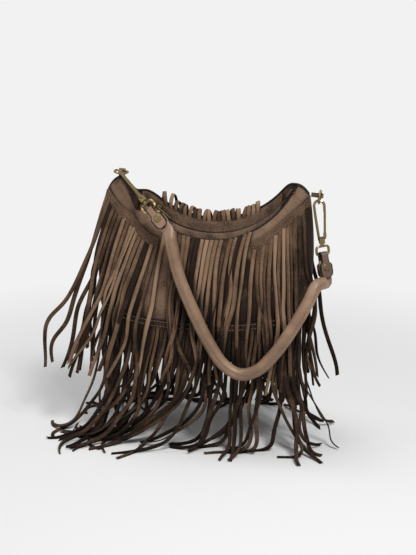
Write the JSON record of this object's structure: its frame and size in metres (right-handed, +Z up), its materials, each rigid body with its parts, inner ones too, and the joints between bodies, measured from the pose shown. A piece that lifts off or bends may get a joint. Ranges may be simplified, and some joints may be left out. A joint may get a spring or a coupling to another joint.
{
  "type": "fringed suede shoulder bag",
  "caption": "Soft suede shoulder bag with a curved zip top between two ears, long slit fringe in tiers, and a rolled leather handle on snap hooks.",
  "frame": {"origin": "on the surface that the fringe stands on, below the middle of the whole form", "axes": "+Z up, +X from the left ear to the right ear, -Y towards the front of the bag"},
  "size_m": [0.3584, 0.2242, 0.3496],
  "materials": {
    "body_suede": "brushed suede, taupe brown, matt",
    "fringe_suede": "slit suede strips, napped on both faces",
    "dark_suede": "darker brown suede",
    "handle_leather": "smooth light tan leather, soft sheen",
    "antique_brass": "antiqued brass, brushed and darkened"
  },
  "bodies": {
    "root": {"front_panel": "body_suede", "back_panel": "body_suede", "base_panel": "dark_suede", "zip_strip_front": "body_suede", "zip_strip_back": "body_suede", "zip_teeth_front": "antique_brass", "zip_teeth_back": "antique_brass", "zip_end_tab_left": "dark_suede", "zip_end_tab_right": "dark_suede", "fringe_upper_front_left": "fringe_suede", "fringe_upper_front_centre": "fringe_suede", "fringe_upper_front_right": "fringe_suede", "fringe_lower_front_left": "fringe_suede", "fringe_lower_front_centre": "fringe_suede", "fringe_lower_front_right": "fringe_suede", "fringe_upper_back_left": "fringe_suede", "fringe_upper_back_centre": "fringe_suede", "fringe_upper_back_right": "fringe_suede", "fringe_lower_back_left": "fringe_suede", "fringe_lower_back_centre": "fringe_suede", "fringe_lower_back_right": "fringe_suede", "ear_loop_left": "body_suede", "ear_loop_right": "body_suede", "ear_ring_right": "antique_brass"},
    "handle": {"handle_strap": "handle_leather", "handle_tab_left": "handle_leather", "handle_tab_right": "dark_suede", "handle_rivet_left": "antique_brass", "handle_rivet_right": "antique_brass", "hook_eye_left": "antique_brass", "hook_eye_right": "antique_brass", "ear_ring_left": "antique_brass"},
    "hook_left_body": {"hook_left": "antique_brass", "hook_gate_pin_left": "antique_brass"},
    "hook_right_body": {"hook_right": "antique_brass", "hook_gate_pin_right": "antique_brass"},
    "gate_left": {"hook_gate_left": "antique_brass"},
    "gate_right": {"hook_gate_right": "antique_brass"},
    "slider": {"zip_slider": "antique_brass"},
    "pull": {"zip_pull": "antique_brass"}
  },
  "joints": [
    {"name": "handle_swing", "type": "hinge", "parent": "root", "child": "handle", "pos_m": [-0.0918, 0.0065, 0.345], "axis": [-0.9953, 0.0317, 0.0912], "range_deg": [0, 200]},
    {"name": "hook_left_swivel", "type": "hinge", "parent": "handle", "child": "hook_left_body", "pos_m": [-0.05619, -0.02705, 0.3136], "axis": [0.6722, -0.4152, -0.6129], "range_deg": [-12, 4]},
    {"name": "hook_right_swivel", "type": "hinge", "parent": "handle", "child": "hook_right_body", "pos_m": [0.16396, -0.00553, 0.26448], "axis": [0.1102, -0.0701, -0.9914], "range_deg": [-20, 20]},
    {"name": "gate_left_hinge", "type": "hinge", "parent": "hook_left_body", "child": "gate_left", "pos_m": [-0.06267, -0.01914, 0.31745], "axis": [0.7382, 0.3125, 0.5979], "range_deg": [0, 10], "stiffness_Nm_per_rad": 0.02, "springref_deg": -11.46},
    {"name": "gate_right_hinge", "type": "hinge", "parent": "hook_right_body", "child": "gate_right", "pos_m": [0.16723, -0.00479, 0.27488], "axis": [0, -0.9975, 0.0705], "range_deg": [0, 10], "stiffness_Nm_per_rad": 0.02, "springref_deg": -11.46},
    {"name": "slider_travel", "type": "hinge", "parent": "root", "child": "slider", "pos_m": [0.0242, 0.0065, 0.3844], "axis": [0, -1, 0], "range_deg": [0, 89]},
    {"name": "pull_flip", "type": "hinge", "parent": "slider", "child": "pull", "pos_m": [-0.04465, 0.0065, 0.29938], "axis": [0, -1, 0], "range_deg": [0, 150]}
  ]
}
